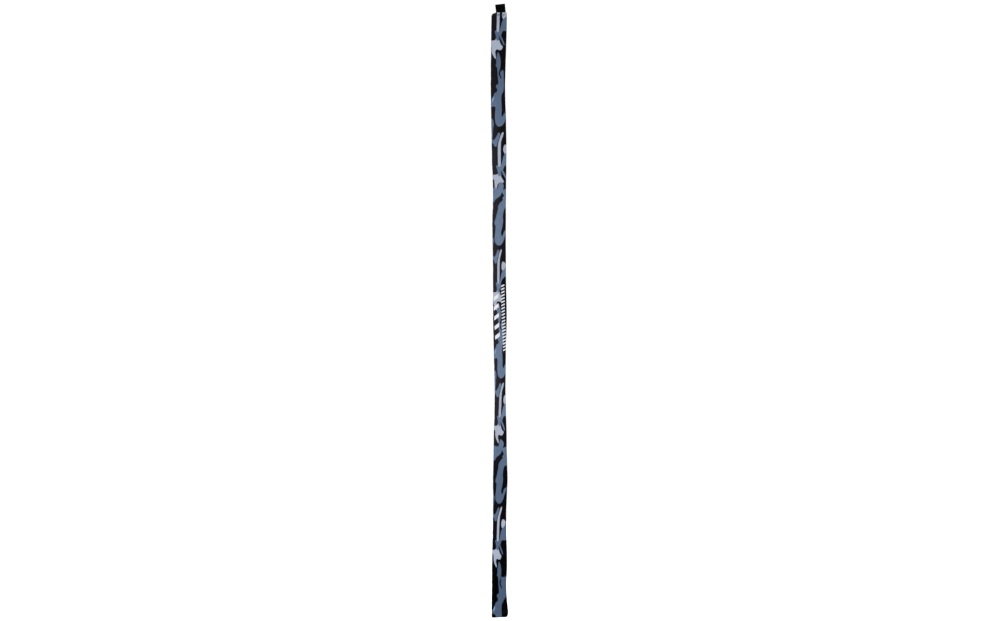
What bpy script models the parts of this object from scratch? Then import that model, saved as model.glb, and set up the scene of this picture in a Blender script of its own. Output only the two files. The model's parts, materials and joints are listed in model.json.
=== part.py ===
"""A slim printed fabric sleeve that hangs from a webbing loop.

Metres, +Z up, front towards -Y. The origin is the hang point: the inside of the loop's top, at the middle of
the webbing. The sleeve hangs below it, closed by a flat end seam at the top and open at the mouth below.
"""

import math

import bmesh
import bpy
from mathutils import Vector

# Clearance between pieces that touch on the real object.
GAP = 0.0003

# Sleeve.
SLEEVE_LENGTH = 1.535
SLEEVE_WIDTH = 0.037
SLEEVE_LOFT = 0.009
MOUTH_LOFT = 0.0115
FABRIC = 0.001
SLEEVE_X = -0.001
EDGE_ROUND = 0.011
LOFT_RISE = 0.060
MOUTH_RISE = 0.045
# How far the left and right edges stand in from the nominal width, by share of the length from the top.
OUTLINE = (
    (0.000, -0.0027, 0.0000),
    (0.020, -0.0028, 0.0004),
    (0.060, -0.0040, 0.0018),
    (0.130, -0.0038, 0.0041),
    (0.180, -0.0032, 0.0024),
    (0.250, -0.0008, 0.0008),
    (0.310, 0.0014, 0.0020),
    (0.345, 0.0000, 0.0024),
    (0.430, 0.0014, 0.0024),
    (0.500, 0.0014, 0.0006),
    (0.560, 0.0036, 0.0026),
    (0.635, 0.0058, 0.0032),
    (0.690, 0.0034, 0.0004),
    (0.730, 0.0028, 0.0002),
    (0.775, 0.0020, -0.0010),
    (0.820, 0.0016, 0.0008),
    (0.860, 0.0004, 0.0006),
    (0.910, -0.0012, -0.0004),
    (0.950, -0.0018, 0.0018),
    (0.985, -0.0020, -0.0024),
    (0.994, -0.0020, -0.0034),
    (1.000, -0.0018, -0.0010),
)

# End seam, where the sleeve is flattened over the webbing's tails.
SEAM_DEPTH = 0.014
SEAM_EDGE_ROUND = 0.0025
SEAM_WALL = 0.0011
SEAM_MARGIN = 0.0025
SEAM_CORNER_HEIGHT = 0.012
SEAM_WEB = 0.0025
SEAM_STITCH_DEPTH = 0.005

# Webbing loop.
WEBBING_WIDTH = 0.025
WEBBING_THICKNESS = 0.0012
LOOP_X = 0.002
LOOP_HEIGHT = 0.0181
LOOP_EYE = 0.0084
LOOP_NECK = 0.004
LOOP_LEAN = math.radians(6.5)
TAIL_DEPTH = 0.011
TAIL_PROUD = 0.0015
HINGE_RISE = 0.0035

# Mouth hem.
HEM_DEPTH = 0.020
HEM_ROW_SPACING = 0.005
HEM_ROW_INSET = 0.003

# Side seam, bound by an overlock inside the left edge.
OVERLOCK_WIDTH = 0.005
OVERLOCK_THICKNESS = 0.002
OVERLOCK_TOP = 0.034
OVERLOCK_EDGE = 0.0009

# Threads.
THREAD = 0.0005
BARTACK_LENGTH = 0.006
BARTACK_HEIGHT = 0.0016
BARTACK_SPACING = 0.0127

# Mesh resolution.
CORNER_STEPS = 5
RING_SPACING = 0.038
ARC_STEPS = 12
SHADE_ANGLE = math.radians(40)

# The stack of heights that follows from the sizes above.
HINGE_Z = WEBBING_THICKNESS - LOOP_HEIGHT
SLEEVE_TOP_Z = HINGE_Z - HINGE_RISE
SEAM_LOFT = 2 * (WEBBING_THICKNESS + GAP + SEAM_WALL)
TAIL_LEFT_X = LOOP_X - WEBBING_WIDTH / 2
TAIL_RIGHT_X = LOOP_X + WEBBING_WIDTH / 2


def clear_scene():
    for item in list(bpy.data.objects):
        bpy.data.objects.remove(item, do_unlink=True)


def material(name, colour, roughness):
    made = bpy.data.materials.new(name)
    made.use_nodes = True
    shader = made.node_tree.nodes["Principled BSDF"]
    shader.inputs["Base Color"].default_value = (*colour, 1.0)
    shader.inputs["Roughness"].default_value = roughness
    shader.inputs["Metallic"].default_value = 0.0
    return made


def add_object(name, mesh_data, look, smooth=True):
    """Make one closed body from a bmesh, facing out."""
    bmesh.ops.recalc_face_normals(mesh_data, faces=mesh_data.faces)
    mesh = bpy.data.meshes.new(name)
    mesh_data.to_mesh(mesh)
    mesh_data.free()
    if smooth:
        mesh.shade_smooth()
        mesh.set_sharp_from_angle(angle=SHADE_ANGLE)
    piece = bpy.data.objects.new(name, mesh)
    bpy.context.scene.collection.objects.link(piece)
    mesh.materials.append(look)
    return piece


def ease(share):
    """Go from 0 to 1 with a flat start and end."""
    share = min(max(share, 0.0), 1.0)
    return share * share * (3 - 2 * share)


def along_outline(share, column):
    """Read one edge's inset at a share of the length, on a smooth curve through the outline's stations."""
    last = len(OUTLINE) - 1
    index = max(i for i in range(last) if OUTLINE[i][0] <= share or i == 0)
    start, end = OUTLINE[index], OUTLINE[index + 1]
    before, after = OUTLINE[max(index - 1, 0)], OUTLINE[min(index + 2, last)]
    span = end[0] - start[0]
    rise_in = (end[column] - before[column]) / (end[0] - before[0]) * span
    rise_out = (after[column] - start[column]) / (after[0] - start[0]) * span
    t = (share - start[0]) / span
    return (
        (2 * t**3 - 3 * t**2 + 1) * start[column]
        + (t**3 - 2 * t**2 + t) * rise_in
        + (3 * t**2 - 2 * t**3) * end[column]
        + (t**3 - t**2) * rise_out
    )


def sleeve_edges(depth):
    """The left and right x of the sleeve at a depth below its top edge."""
    share = depth / SLEEVE_LENGTH
    left = SLEEVE_X - SLEEVE_WIDTH / 2 + along_outline(share, 1)
    right = SLEEVE_X + SLEEVE_WIDTH / 2 - along_outline(share, 2)
    seam_left = TAIL_LEFT_X - SEAM_MARGIN
    seam_right = TAIL_RIGHT_X + SEAM_MARGIN
    closing = 1 - ease((depth - SEAM_DEPTH) / LOFT_RISE)
    right += closing * max(0.0, seam_right - right)
    if depth < SEAM_CORNER_HEIGHT:
        fall = 1 - depth / SEAM_CORNER_HEIGHT
        left += max(0.0, seam_left - left) * (1 - math.sqrt(1 - fall * fall))
    return left, right


def sleeve_loft(depth):
    """The sleeve's outside thickness at a depth below its top edge."""
    body = ease((depth - SEAM_DEPTH) / LOFT_RISE)
    mouth = ease((depth - SLEEVE_LENGTH + MOUTH_RISE) / MOUTH_RISE)
    return SEAM_LOFT + (SLEEVE_LOFT - SEAM_LOFT) * body + (MOUTH_LOFT - SLEEVE_LOFT) * mouth


def section(depth, inset=0.0):
    """One ring of the sleeve: flat front and back faces, and rounded edges. inset is measured inwards."""
    left, right = sleeve_edges(depth)
    middle = (left + right) / 2
    reach = (right - left) / 2
    rounding = SEAM_EDGE_ROUND + (EDGE_ROUND - SEAM_EDGE_ROUND) * ease((depth - SEAM_DEPTH) / LOFT_RISE)
    flat = reach - min(rounding, reach * 0.9)
    wide = reach - inset - flat
    high = sleeve_loft(depth) / 2 - inset
    ring = []
    for side_x, side_y in ((1, 1), (-1, 1), (-1, -1), (1, -1)):
        for step in range(CORNER_STEPS):
            turn = step / (CORNER_STEPS - 1) * math.pi / 2
            if side_x != side_y:
                turn = math.pi / 2 - turn
            x = middle + side_x * (flat + wide * math.cos(turn))
            ring.append((x, side_y * high * math.sin(turn)))
    kept = []
    for point in ring:
        if not kept or math.dist(point, kept[-1]) > GAP / 10:
            kept.append(point)
    if math.dist(kept[0], kept[-1]) <= GAP / 10:
        kept.pop()
    return [Vector((x, y, SLEEVE_TOP_Z - depth)) for x, y in kept]


def ring_depths(start, end):
    """Depths of the rings between two depths: close together at the seam and the mouth, and even between."""
    marks = {start, end}
    marks.update(SEAM_CORNER_HEIGHT * share for share in (0.15, 0.35, 0.6, 1.0))
    marks.update(SEAM_DEPTH + LOFT_RISE * share for share in (0.0, 0.25, 0.5, 0.75, 1.0))
    marks.update(SLEEVE_LENGTH - MOUTH_RISE * share for share in (1.0, 0.66, 0.33))
    marks.update(SLEEVE_LENGTH * OUTLINE[i][0] for i in (-3, -2))
    body_start = SEAM_DEPTH + LOFT_RISE
    body_end = SLEEVE_LENGTH - MOUTH_RISE
    count = round((body_end - body_start) / RING_SPACING)
    marks.update(body_start + (body_end - body_start) * i / count for i in range(1, count))
    kept = []
    for depth in sorted(mark for mark in marks if start <= mark <= end):
        if kept and depth - kept[-1] < FABRIC:
            if depth != end:
                continue
            kept.pop()
        kept.append(depth)
    return kept


def bridge(body, first, second):
    """Join two rings of vertices with the same count by quads."""
    count = len(first)
    for i in range(count):
        j = (i + 1) % count
        body.faces.new((first[i], first[j], second[j], second[i]))


def loft(rings, closed_ends):
    """A body through a list of rings. With closed_ends it is capped, and without it the last joins the first."""
    body = bmesh.new()
    loops = [[body.verts.new(point) for point in ring] for ring in rings]
    for first, second in zip(loops, loops[1:]):
        bridge(body, first, second)
    if closed_ends:
        body.faces.new(loops[0])
        body.faces.new(loops[-1])
    else:
        bridge(body, loops[-1], loops[0])
    return body


def box(low, high):
    body = bmesh.new()
    bmesh.ops.create_cube(body, size=1.0)
    for vert in body.verts:
        vert.co = Vector((high[k] if vert.co[k] > 0 else low[k]) for k in range(3))
    return body


def cut(piece, cutter):
    """Take the cutter's shape out of the piece, and hide the cutter."""
    cutter.hide_render = True
    cutter.display_type = "WIRE"
    step = piece.modifiers.new("cut_" + cutter.name, "BOOLEAN")
    step.operation = "DIFFERENCE"
    step.solver = "EXACT"
    step.object = cutter


def add_sleeve_body(look):
    """The fabric tube: the outside down to the mouth, then the inside back up to the end seam."""
    pocket_top = TAIL_DEPTH + GAP + SEAM_WEB
    outside = [section(depth) for depth in ring_depths(0.0, SLEEVE_LENGTH)]
    inside = [section(depth, FABRIC) for depth in ring_depths(pocket_top, SLEEVE_LENGTH)]
    sleeve = add_object("sleeve_body", loft(outside + inside[::-1], True), look)
    low = (TAIL_LEFT_X - GAP, -WEBBING_THICKNESS - GAP, SLEEVE_TOP_Z - TAIL_DEPTH - GAP)
    high = (TAIL_RIGHT_X + GAP, WEBBING_THICKNESS + GAP, SLEEVE_TOP_Z + FABRIC)
    cut(sleeve, add_object("tail_slot_cutter", box(low, high), look, smooth=False))
    return sleeve


def add_hem_fold(look):
    """The hem layer, turned up inside the mouth."""
    start = SLEEVE_LENGTH - HEM_DEPTH
    end = SLEEVE_LENGTH - GAP
    outer = FABRIC + GAP
    inner = outer + FABRIC
    depths = ring_depths(start, end)
    rings = [section(depth, outer) for depth in depths]
    rings += [section(depth, inner) for depth in reversed(depths)]
    return add_object("mouth_hem_fold", loft(rings, False), look)


def add_hem_row(name, depth, look):
    """One row of hem stitching, as a thin band round the outside of the mouth."""
    half = THREAD / 2
    near, far = -GAP, -GAP - THREAD
    rings = [
        section(depth - half, near),
        section(depth - half, far),
        section(depth + half, far),
        section(depth + half, near),
    ]
    return add_object(name, loft(rings, False), look)


def add_overlock(look):
    """The bound seam allowance, a strip that follows the left edge inside the sleeve."""
    start = OVERLOCK_TOP
    end = SLEEVE_LENGTH - HEM_DEPTH - FABRIC
    half = OVERLOCK_THICKNESS / 2
    rings = []
    for depth in ring_depths(start, end):
        outer_x = sleeve_edges(depth)[0] + FABRIC + OVERLOCK_EDGE
        inner_x = outer_x + OVERLOCK_WIDTH
        z = SLEEVE_TOP_Z - depth
        corners = ((outer_x, -half), (inner_x, -half), (inner_x, half), (outer_x, half))
        rings.append([Vector((x, y, z)) for x, y in corners])
    return add_object("side_seam_overlock", loft(rings, True), look, smooth=False)


def add_end_seam_row(name, side, look):
    """The closing row, on the front (side -1) or the back (side +1)."""
    surface = side * (SEAM_LOFT / 2 + GAP)
    y = sorted((surface, surface + side * THREAD))
    z = SLEEVE_TOP_Z - SEAM_STITCH_DEPTH
    left, right = sleeve_edges(SEAM_STITCH_DEPTH - THREAD)
    low = (left + SEAM_EDGE_ROUND, y[0], z - THREAD / 2)
    high = (right - SEAM_EDGE_ROUND, y[1], z + THREAD / 2)
    return add_object(name, box(low, high), look, smooth=False)


def add_bartack(name, offset, side, look):
    """One dense bar of stitches, below the closing row."""
    surface = side * (SEAM_LOFT / 2 + GAP)
    y = sorted((surface, surface + side * THREAD))
    x = LOOP_X + offset
    top = SLEEVE_TOP_Z - SEAM_STITCH_DEPTH - THREAD / 2 - BARTACK_HEIGHT / 2
    low = (x - BARTACK_LENGTH / 2, y[0], top - BARTACK_HEIGHT)
    high = (x + BARTACK_LENGTH / 2, y[1], top)
    return add_object(name, box(low, high), look, smooth=False)


def add_loop_tails(look):
    """The webbing's two tails, one on the other, from inside the end seam to just proud of it."""
    half = WEBBING_THICKNESS
    crown = SLEEVE_TOP_Z + TAIL_PROUD - half
    outline = [(half, SLEEVE_TOP_Z - TAIL_DEPTH)]
    for step in range(ARC_STEPS + 1):
        turn = math.pi * step / ARC_STEPS
        outline.append((half * math.cos(turn), crown + half * math.sin(turn)))
    outline.append((-half, SLEEVE_TOP_Z - TAIL_DEPTH))
    rings = [[Vector((x, y, z)) for y, z in outline] for x in (TAIL_LEFT_X, TAIL_RIGHT_X)]
    return add_object("loop_tails", loft(rings, True), look)


def teardrop(foot_y, radius):
    """Half of the webbing's outline from the side: up the neck, straight to the crown's circle, and round it."""
    neck_z = HINGE_Z + LOOP_NECK
    centre_z = -LOOP_EYE / 2
    down = centre_z - neck_z
    to_neck = math.atan2(-down, foot_y)
    meets = to_neck + math.acos(radius / math.hypot(foot_y, down))
    half = [(foot_y, neck_z)]
    if foot_y:
        half.insert(0, (foot_y, HINGE_Z))
    for step in range(ARC_STEPS + 1):
        turn = meets + (math.pi / 2 - meets) * step / ARC_STEPS
        half.append((radius * math.cos(turn), centre_z + radius * math.sin(turn)))
    return half


def mirrored(half):
    """Close a half outline with its mirror image, without doubling the points on the middle."""
    return half + [(-y, z) for y, z in reversed(half) if y > GAP / 10]


def lean(x, z):
    """Tip the loop in its own plane: nothing at the hinge, and the whole angle at the top."""
    rise = z - HINGE_Z
    slope = math.tan(LOOP_LEAN)
    across = x - slope * rise
    return across, z + slope * (across - LOOP_X) * rise / LOOP_HEIGHT


def add_hang_loop(look):
    """The webbing's free bight: folded over the eye, its two sides meeting at the neck and the hinge."""
    half = WEBBING_THICKNESS
    outline = mirrored(teardrop(half, LOOP_EYE / 2 + WEBBING_THICKNESS))
    for step in range(1, ARC_STEPS):
        turn = math.pi * step / ARC_STEPS
        outline.append((-half * math.cos(turn), HINGE_Z - half * math.sin(turn)))
    eye = mirrored(teardrop(0.0, LOOP_EYE / 2))
    piece = add_extruded("hang_loop", outline, look)
    cut(piece, add_extruded("loop_eye_cutter", eye, look, proud=FABRIC))
    return piece


def add_extruded(name, outline, look, proud=0.0):
    """A strip with this outline from the side, as wide as the webbing, with the loop's lean."""
    rings = []
    for x in (TAIL_LEFT_X - proud, TAIL_RIGHT_X + proud):
        ring = []
        for y, z in outline:
            across, height = lean(x, z)
            ring.append(Vector((across, y, height)))
        rings.append(ring)
    return add_object(name, loft(rings, True), look)


def main():
    clear_scene()
    cloth = material("printed_fabric", (0.025, 0.03, 0.045), 0.85)
    webbing = material("black_webbing", (0.008, 0.008, 0.009), 0.7)
    thread = material("black_thread", (0.012, 0.012, 0.014), 0.6)
    add_sleeve_body(cloth)
    add_hem_fold(cloth)
    last_row = SLEEVE_LENGTH - HEM_DEPTH + HEM_ROW_INSET
    add_hem_row("mouth_hem_stitch_upper", last_row, thread)
    add_hem_row("mouth_hem_stitch_lower", last_row + HEM_ROW_SPACING, thread)
    add_overlock(thread)
    for side, face in ((-1, "front"), (1, "back")):
        add_end_seam_row("end_seam_stitch_" + face, side, thread)
        for offset, place in ((-0.5, "left"), (0.5, "right")):
            add_bartack("bartack_" + place + "_" + face, offset * BARTACK_SPACING, side, thread)
    add_loop_tails(webbing)
    add_hang_loop(webbing)


main()
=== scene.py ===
"""The looks of a printed fabric rod sleeve: its cloth, print, stitching and webbing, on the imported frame.

Metres, in the frame's axes: +Z up, front towards -Y, +X to the right. A depth is measured down from the
sleeve's top edge. A share runs once round the sleeve, from the side seam at the left edge (0), across the
front, to the folded right edge (0.5), and back across the back.
"""

import json
import math

import bpy
import numpy as np
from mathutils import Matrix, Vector, noise


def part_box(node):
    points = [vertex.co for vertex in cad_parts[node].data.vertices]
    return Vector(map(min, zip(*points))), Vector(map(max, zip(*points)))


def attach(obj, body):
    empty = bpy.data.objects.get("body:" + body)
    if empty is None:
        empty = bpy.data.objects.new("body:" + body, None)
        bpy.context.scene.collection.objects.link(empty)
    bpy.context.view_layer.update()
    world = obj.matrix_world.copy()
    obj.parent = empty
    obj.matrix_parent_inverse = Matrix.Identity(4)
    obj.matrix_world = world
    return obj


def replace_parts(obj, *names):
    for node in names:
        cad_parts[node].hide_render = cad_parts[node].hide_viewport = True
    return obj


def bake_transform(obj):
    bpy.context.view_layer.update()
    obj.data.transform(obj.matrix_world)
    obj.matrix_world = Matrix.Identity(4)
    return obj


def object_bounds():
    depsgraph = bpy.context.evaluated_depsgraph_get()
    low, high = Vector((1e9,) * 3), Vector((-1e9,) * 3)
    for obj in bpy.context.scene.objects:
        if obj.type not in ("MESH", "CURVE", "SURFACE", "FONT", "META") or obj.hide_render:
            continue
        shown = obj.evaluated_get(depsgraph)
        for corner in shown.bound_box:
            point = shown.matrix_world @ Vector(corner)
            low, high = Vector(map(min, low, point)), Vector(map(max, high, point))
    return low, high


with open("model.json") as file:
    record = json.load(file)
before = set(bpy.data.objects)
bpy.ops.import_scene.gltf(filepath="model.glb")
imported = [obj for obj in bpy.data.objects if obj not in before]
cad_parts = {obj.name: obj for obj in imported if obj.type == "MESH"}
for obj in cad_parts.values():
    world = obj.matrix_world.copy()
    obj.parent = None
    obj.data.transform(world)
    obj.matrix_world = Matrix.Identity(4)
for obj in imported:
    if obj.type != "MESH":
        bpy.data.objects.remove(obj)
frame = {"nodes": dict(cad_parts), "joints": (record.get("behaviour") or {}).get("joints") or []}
CAD_LOW, CAD_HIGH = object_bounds()

# The sleeve, read from its CAD solid.
SLEEVE_LOW, SLEEVE_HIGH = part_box("sleeve_body")
TOP_Z = SLEEVE_HIGH.z
LENGTH = SLEEVE_HIGH.z - SLEEVE_LOW.z
PRINT_WIDTH = 37.0  # millimetres across the flat sleeve

# Cloth.
FABRIC = 0.001
SEAM_ALLOWANCE = 0.005
SEAM_DEPTH = 0.014
SEAM_HALF = 0.0026
SEAM_HALF_BESIDE_WEBBING = 0.0015
SEAM_ROUND = 0.0025
EDGE_ROUND = 0.011
LOFT_RISE = 0.060
TOP_ROLL = 0.00065
POCKET_DEPTH = 0.0113
CAVITY_TOP = 0.017
HEM_DEPTH = 0.020
HEM_ROLL = 0.00115
END_ROW_DEPTH = 0.005
CORNER_DEPTH = 0.012
CORNER_CUT = 0.0030  # how much further in the cut corner starts at the very top
CORNER_CUT_DEPTH = 0.005
MOUTH_SLANT = 0.0018  # how much lower the mouth hangs at the left
MOUTH_SLANT_RISE = 0.05
MOUTH_WIDTH = 0.040

# How far each kind of unevenness moves the empty cloth, and how wide the narrow ones are.
SLACK = 0.0010
WAVES = 0.00045
PUCKERS = 0.0005
PUCKER_WIDTH = 0.006
GATHERS = 0.0006
GATHER_DEPTH = 0.030
GATHER_WIDTH = 0.018
GROOVE = 0.0007
GROOVE_WIDTH = 0.00035
END_ROW_PULL = 0.00028
END_ROW_WIDTH = 0.0007
HEM_ROW_PULL = 0.0003
HEM_ROW_WIDTH = 0.0008

# Rings of the cloth's mesh.
FINE_RINGS = 0.001
BODY_RINGS = 0.0025
INNER_RINGS = 0.008
ROUND_COLUMNS = 72
SECTION_POINTS = 145
SEAM_COLUMNS = (0.004, 0.009)  # shares, on both sides of the side seam

# Webbing and thread.
WEBBING = 0.0012
WEBBING_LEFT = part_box("loop_tails")[0].x
WEBBING_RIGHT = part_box("loop_tails")[1].x
LOOP_LEAN = math.radians(6.5)
HINGE_Z = frame["joints"][0]["pos_m"][2]
RELIEF_MARGIN = 0.002  # how far beside the webbing the cloth starts to rise over it
RELIEF_SLOPE = 0.0018
THREAD_RADIUS = 0.00022
STITCH = 0.0026
STITCH_GAP = 0.0004
STITCH_START, STITCH_END = 0.07, 0.93  # shares of the pitch
BARTACK_STITCHES = 15
OVERLOCK_RINGS = 0.0012
OVERLOCK_HALF = 0.0006
OVERLOCK_SCALLOP = 0.00025
OVERLOCK_PITCH = 0.0048
OVERLOCK_INSET = 0.0012  # between the cloth's inside and the band

# Pitches of the knit's, the webbing's and the thread's relief.
KNIT_COLUMN = 0.0009
KNIT_ROW = 0.0007
YARN_PITCH = 0.0010
RIB_PITCH = 0.0011
PLY_PITCH = 0.0007

# Photograph's view: a level camera far enough away to see the hanging sleeve from end to end.
LENS = 85.0
SENSOR = 36.0
VIEW_WIDTH = 2.54
VIEW_CENTRE_Z = -0.7773
FLOOR_DROP = 0.04
FLOOR_RADIUS = 3.2
FLOOR_CORNERS = 96

# Studio: what the surroundings give as light and show to the camera, and each lamp's place, side and power.
SKY_LIGHT = 0.36
SKY_SEEN = 1.05
LAMPS = {
    "key": ((-1.0, -4.8, 0.2), 2.0, 105),
    "fill": ((1.6, -4.4, -0.8), 2.0, 35),
    "back": ((0.8, 4.8, 0.2), 2.4, 115),
    "overhead": ((0.0, 0.0, 4.5), 4.0, 430),
}


def ease(value):
    """Go from 0 to 1 with a flat start and end."""
    value = np.clip(value, 0.0, 1.0)
    return value * value * (3 - 2 * value)


def smooth_curve(at, knots, values):
    """Read a smooth curve through the knots, its slopes worked out from the neighbouring knots."""
    slopes = np.gradient(values, knots)
    index = np.clip(np.searchsorted(knots, at, side="right") - 1, 0, len(knots) - 2)
    span = knots[index + 1] - knots[index]
    t = np.clip((at - knots[index]) / span, 0, 1)
    return (
        (2 * t**3 - 3 * t**2 + 1) * values[index]
        + (t**3 - 2 * t**2 + t) * span * slopes[index]
        + (3 * t**2 - 2 * t**3) * values[index + 1]
        + (t**3 - t**2) * span * slopes[index + 1]
    )


# ----------------------------------------------------------------------------
# The sleeve's shape
# ----------------------------------------------------------------------------


def read_outline():
    """The CAD sleeve's left x, right x and half thickness against depth, as (depths, values) for each. Rings
    whose flat stretch was merged away show only their left end."""
    rings = {}
    for vert in frame["nodes"]["sleeve_body"].data.vertices:
        rings.setdefault(round(TOP_Z - vert.co.z, 5), []).append(vert.co)
    left, right, half = [], [], []
    for depth in sorted(rings):
        ring = rings[depth]
        thickness = max(point.y for point in ring)
        if thickness < SEAM_HALF - FABRIC / 4:
            continue
        left.append((depth, min(point.x for point in ring)))
        half.append((depth, thickness))
        if max(point.x for point in ring) > 0:
            right.append((depth, max(point.x for point in ring)))
    return [np.array(rows).T for rows in (left, right, half)]


LEFT_EDGE, RIGHT_EDGE, HALF_LOFT = read_outline()


def column_shares():
    """The shares of the mesh's columns: even, with a few more beside the side seam."""
    shares = set(np.arange(ROUND_COLUMNS) / ROUND_COLUMNS)
    for share in SEAM_COLUMNS:
        shares.update((share, 1 - share))
    return np.array(sorted(shares))


SHARES = column_shares()


def cloth_stations():
    """Every ring of the cloth in turn: its depth, its inset from the outside, how far along the cloth it is,
    and whether it shows the cloth's inside. The cloth runs from the webbing's pocket, over the top edge, down
    the outside, round the hem's fold, up the hem, and up the inside to the end seam."""
    rows = []
    for depth in np.arange(POCKET_DEPTH, TOP_ROLL, -FINE_RINGS):
        rows.append((depth, 2 * TOP_ROLL, TOP_ROLL - math.pi * TOP_ROLL - depth, 0))
    for turn in np.linspace(math.pi, 0, 7):
        depth, inset = TOP_ROLL * (1 - math.sin(turn)), TOP_ROLL * (1 - math.cos(turn))
        rows.append((depth, inset, TOP_ROLL * (1 - turn), 0))
    seam_end = SEAM_DEPTH + 0.006
    hem_start = LENGTH - HEM_DEPTH - 0.004
    outside = np.concatenate([
        np.arange(TOP_ROLL + FINE_RINGS / 2, seam_end, FINE_RINGS),
        np.linspace(seam_end, hem_start, round((hem_start - seam_end) / BODY_RINGS)),
        np.arange(hem_start + FINE_RINGS, LENGTH - HEM_ROLL - FINE_RINGS / 2, FINE_RINGS),
    ])
    for depth in outside:
        rows.append((depth, 0.0, depth, 0))
    fold = LENGTH - HEM_ROLL
    for turn in np.linspace(0, math.pi, 9):
        inset = HEM_ROLL * (1 - math.cos(turn))
        rows.append((fold + HEM_ROLL * math.sin(turn), inset, fold + HEM_ROLL * turn, 0))
    hem_top = LENGTH - HEM_DEPTH
    for depth in np.arange(fold - FINE_RINGS, hem_top, -FINE_RINGS):
        rows.append((depth, 2 * HEM_ROLL, fold + math.pi * HEM_ROLL + fold - depth, 0))
    hem_end = rows[-1][2] + FINE_RINGS
    for part in (0.0, 0.5, 1.0):
        inset = 2 * HEM_ROLL - part * (2 * HEM_ROLL - FABRIC - 0.0001)
        rows.append((hem_top - 0.0004 * math.sin(math.pi * part), inset, hem_end + part * FABRIC, 0))
    inner = np.linspace(hem_top - 0.0015, CAVITY_TOP, round((hem_top - CAVITY_TOP) / INNER_RINGS))
    for depth in inner:
        rows.append((depth, FABRIC, depth, 1))
    return np.array(rows).T


def flat_rings(depths, insets):
    """Points of the rings before any drape, shape (rings, columns, 2), spaced evenly round each ring."""
    left = smooth_curve(depths, *LEFT_EDGE) + insets + CORNER_CUT * ease(1 - depths / CORNER_CUT_DEPTH)
    right = smooth_curve(depths, *RIGHT_EDGE) - insets
    opening = ease((depths - SEAM_DEPTH) / LOFT_RISE)
    lift = (SEAM_HALF - SEAM_HALF_BESIDE_WEBBING) * (1 - opening)
    high = smooth_curve(depths, *HALF_LOFT) - lift - insets
    rounding = np.maximum(SEAM_ROUND + (EDGE_ROUND - SEAM_ROUND) * opening - insets, TOP_ROLL)
    rounding = np.minimum(rounding, (right - left) * 0.45)
    turns = np.linspace(0, 2 * math.pi, SECTION_POINTS)
    over = -np.cos(turns)
    out = -np.sin(turns)
    reach = (right - left) / 2 - rounding
    x = ((left + right) / 2)[:, None] + reach[:, None] * np.sign(np.round(over, 9)) + rounding[:, None] * over
    y = high[:, None] * out
    points = np.zeros((len(depths), len(SHARES), 2))
    for i in range(len(depths)):
        run = np.concatenate([[0], np.cumsum(np.hypot(np.diff(x[i]), np.diff(y[i])))])
        points[i, :, 0] = np.interp(SHARES * run[-1], run, x[i])
        points[i, :, 1] = np.interp(SHARES * run[-1], run, y[i])
    raised = webbing_relief(points[:, :, 0]) * (lift * (1 - ease((depths - 0.0105) / 0.004)))[:, None]
    points[:, :, 1] += raised * np.clip(points[:, :, 1] / 0.0004, -1, 1)
    return points


def webbing_relief(x):
    """1 over the webbing's tails and 0 beside them."""
    from_left = ease((x - WEBBING_LEFT + RELIEF_MARGIN) / RELIEF_SLOPE)
    return from_left * ease((WEBBING_RIGHT + RELIEF_MARGIN - x) / RELIEF_SLOPE)


def ring_normals(points):
    """Outward directions in each ring's own plane."""
    along = np.roll(points, -1, axis=1) - np.roll(points, 1, axis=1)
    out = np.stack([along[:, :, 1], -along[:, :, 0]], axis=-1)
    return out / np.maximum(np.linalg.norm(out, axis=-1, keepdims=True), 1e-9)


def noise_field(depths, round_scale, depth_scale, seed):
    """Smooth noise on the tube, from -1 to 1, which meets itself at the side seam."""
    turns = SHARES * 2 * math.pi
    across = np.cos(turns) * round_scale
    inward = np.sin(turns) * round_scale
    field = np.zeros((len(depths), len(SHARES)))
    for i, depth in enumerate(depths):
        for j in range(len(SHARES)):
            field[i, j] = noise.noise(Vector((across[j], inward[j], depth * depth_scale + seed)))
    return field


def seam_distance():
    """How far each column lies from the side seam, in metres of cloth."""
    return np.minimum(SHARES, 1 - SHARES) * 2 * PRINT_WIDTH / 1000


def drape(depths):
    """How far the empty cloth stands out from, or sinks in behind, the plain rings."""
    below_seam = ease((depths - SEAM_DEPTH) / LOFT_RISE)[:, None]
    body = below_seam * ease((LENGTH - depths) / 0.030 * 0.7 + 0.3)[:, None]
    slack = SLACK * noise_field(depths, 0.9, 8.0, 3.1) + WAVES * noise_field(depths, 1.9, 26.0, 17.7)
    near_seam = np.exp(-(seam_distance() / PUCKER_WIDTH) ** 2)[None, :]
    puckers = PUCKERS * noise_field(depths, 0.5, 95.0, 41.3) * near_seam
    near_top = np.exp(-(((depths - GATHER_DEPTH) / GATHER_WIDTH) ** 2))[:, None]
    gathers = GATHERS * noise_field(depths, 4.2, 12.0, 63.9) * near_top
    on_seam = np.exp(-(seam_distance() / GROOVE_WIDTH) ** 2)[None, :]
    groove = -GROOVE * on_seam * ease((depths - 0.004) / 0.01)[:, None]
    return slack * body + puckers * (0.3 + 0.7 * body) + gathers + groove


def stitch_dents(depths, insets):
    """The cloth drawn in along the rows of stitches, on its outside only."""
    outside = insets == 0
    pull = END_ROW_PULL * np.exp(-(((depths - END_ROW_DEPTH) / END_ROW_WIDTH) ** 2))
    for row in hem_row_depths():
        pull = pull + HEM_ROW_PULL * np.exp(-(((depths - row) / HEM_ROW_WIDTH) ** 2))
    ripple = 0.7 + 0.3 * np.cos(SHARES * 2 * math.pi * 27)
    return -(pull * outside)[:, None] * ripple[None, :]


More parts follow.
